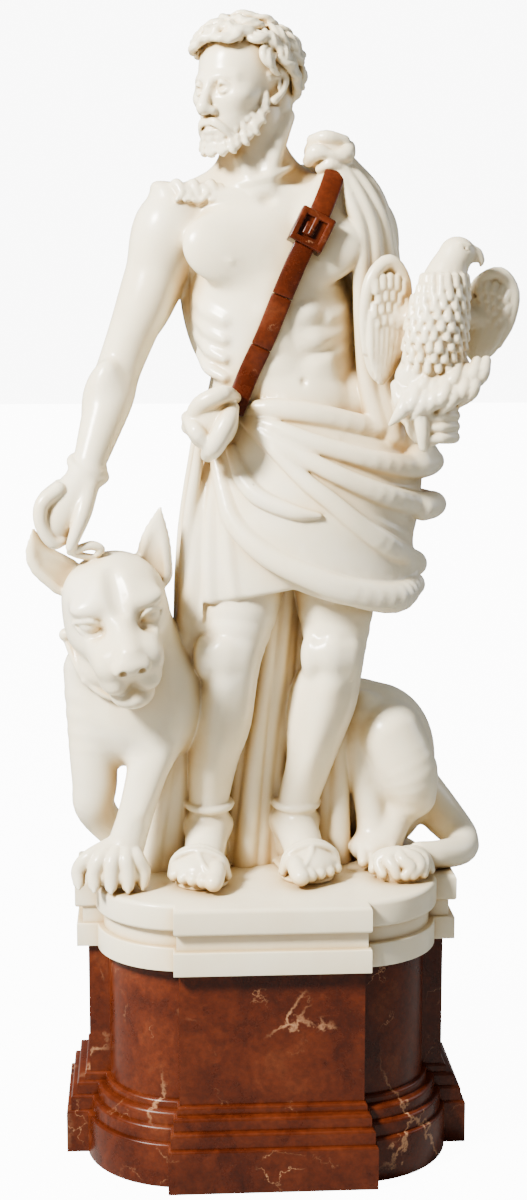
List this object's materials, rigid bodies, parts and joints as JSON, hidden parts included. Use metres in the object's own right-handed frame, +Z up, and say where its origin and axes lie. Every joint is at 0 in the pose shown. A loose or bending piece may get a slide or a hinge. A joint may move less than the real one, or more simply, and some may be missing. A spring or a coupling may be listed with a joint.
{
  "type": "marble statue group on a pedestal",
  "caption": "Life-size white marble group of a bearded, draped man with a seated hound and an eagle, with a red marble strap, on a red marble pedestal.",
  "frame": {"origin": "centre of the pedestal's underside, on the floor", "axes": "+Z up; the man faces -Y; +X is to the viewer's right, the man's left"},
  "size_m": [0.9139, 0.644, 2.2125],
  "materials": {
    "white_marble": "polished",
    "red_marble": "polished"
  },
  "bodies": {
    "root": {"pedestal": "red_marble", "carved_group": "white_marble", "buckle": "red_marble", "strap_length_1": "red_marble", "strap_length_2": "red_marble", "strap_length_3": "red_marble", "strap_length_4": "red_marble"}
  },
  "joints": []
}
